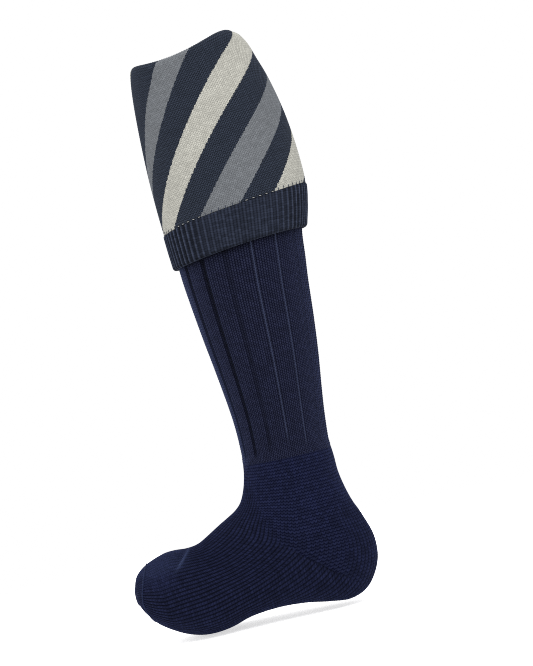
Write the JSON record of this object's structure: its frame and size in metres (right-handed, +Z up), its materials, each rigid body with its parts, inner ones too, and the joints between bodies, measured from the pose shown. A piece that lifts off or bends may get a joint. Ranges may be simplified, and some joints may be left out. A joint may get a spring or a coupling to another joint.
{
  "type": "sock",
  "caption": "Knee-length knitted sock in its worn form: wide-ribbed leg, shaped plain-knit heel and foot, closed toe, and a striped cuff turned down to a finely ribbed band.",
  "frame": {"origin": "centre of the leg opening at the folded top edge", "axes": "+Z up along the leg, the toe towards -X, the heel and calf towards +X"},
  "size_m": [0.2121, 0.1136, 0.4832],
  "materials": {
    "striped_wool": "fine wool knit with diagonal stripes in slate, grey and cream",
    "slate_wool": "fine ribbed wool knit, slate",
    "navy_wool": "coarse wool knit, navy"
  },
  "bodies": {
    "root": {"turnover_cuff": "striped_wool", "cuff_band": "slate_wool", "ribbed_leg": "navy_wool", "foot": "navy_wool", "heel": "navy_wool", "toe": "navy_wool"}
  },
  "joints": []
}
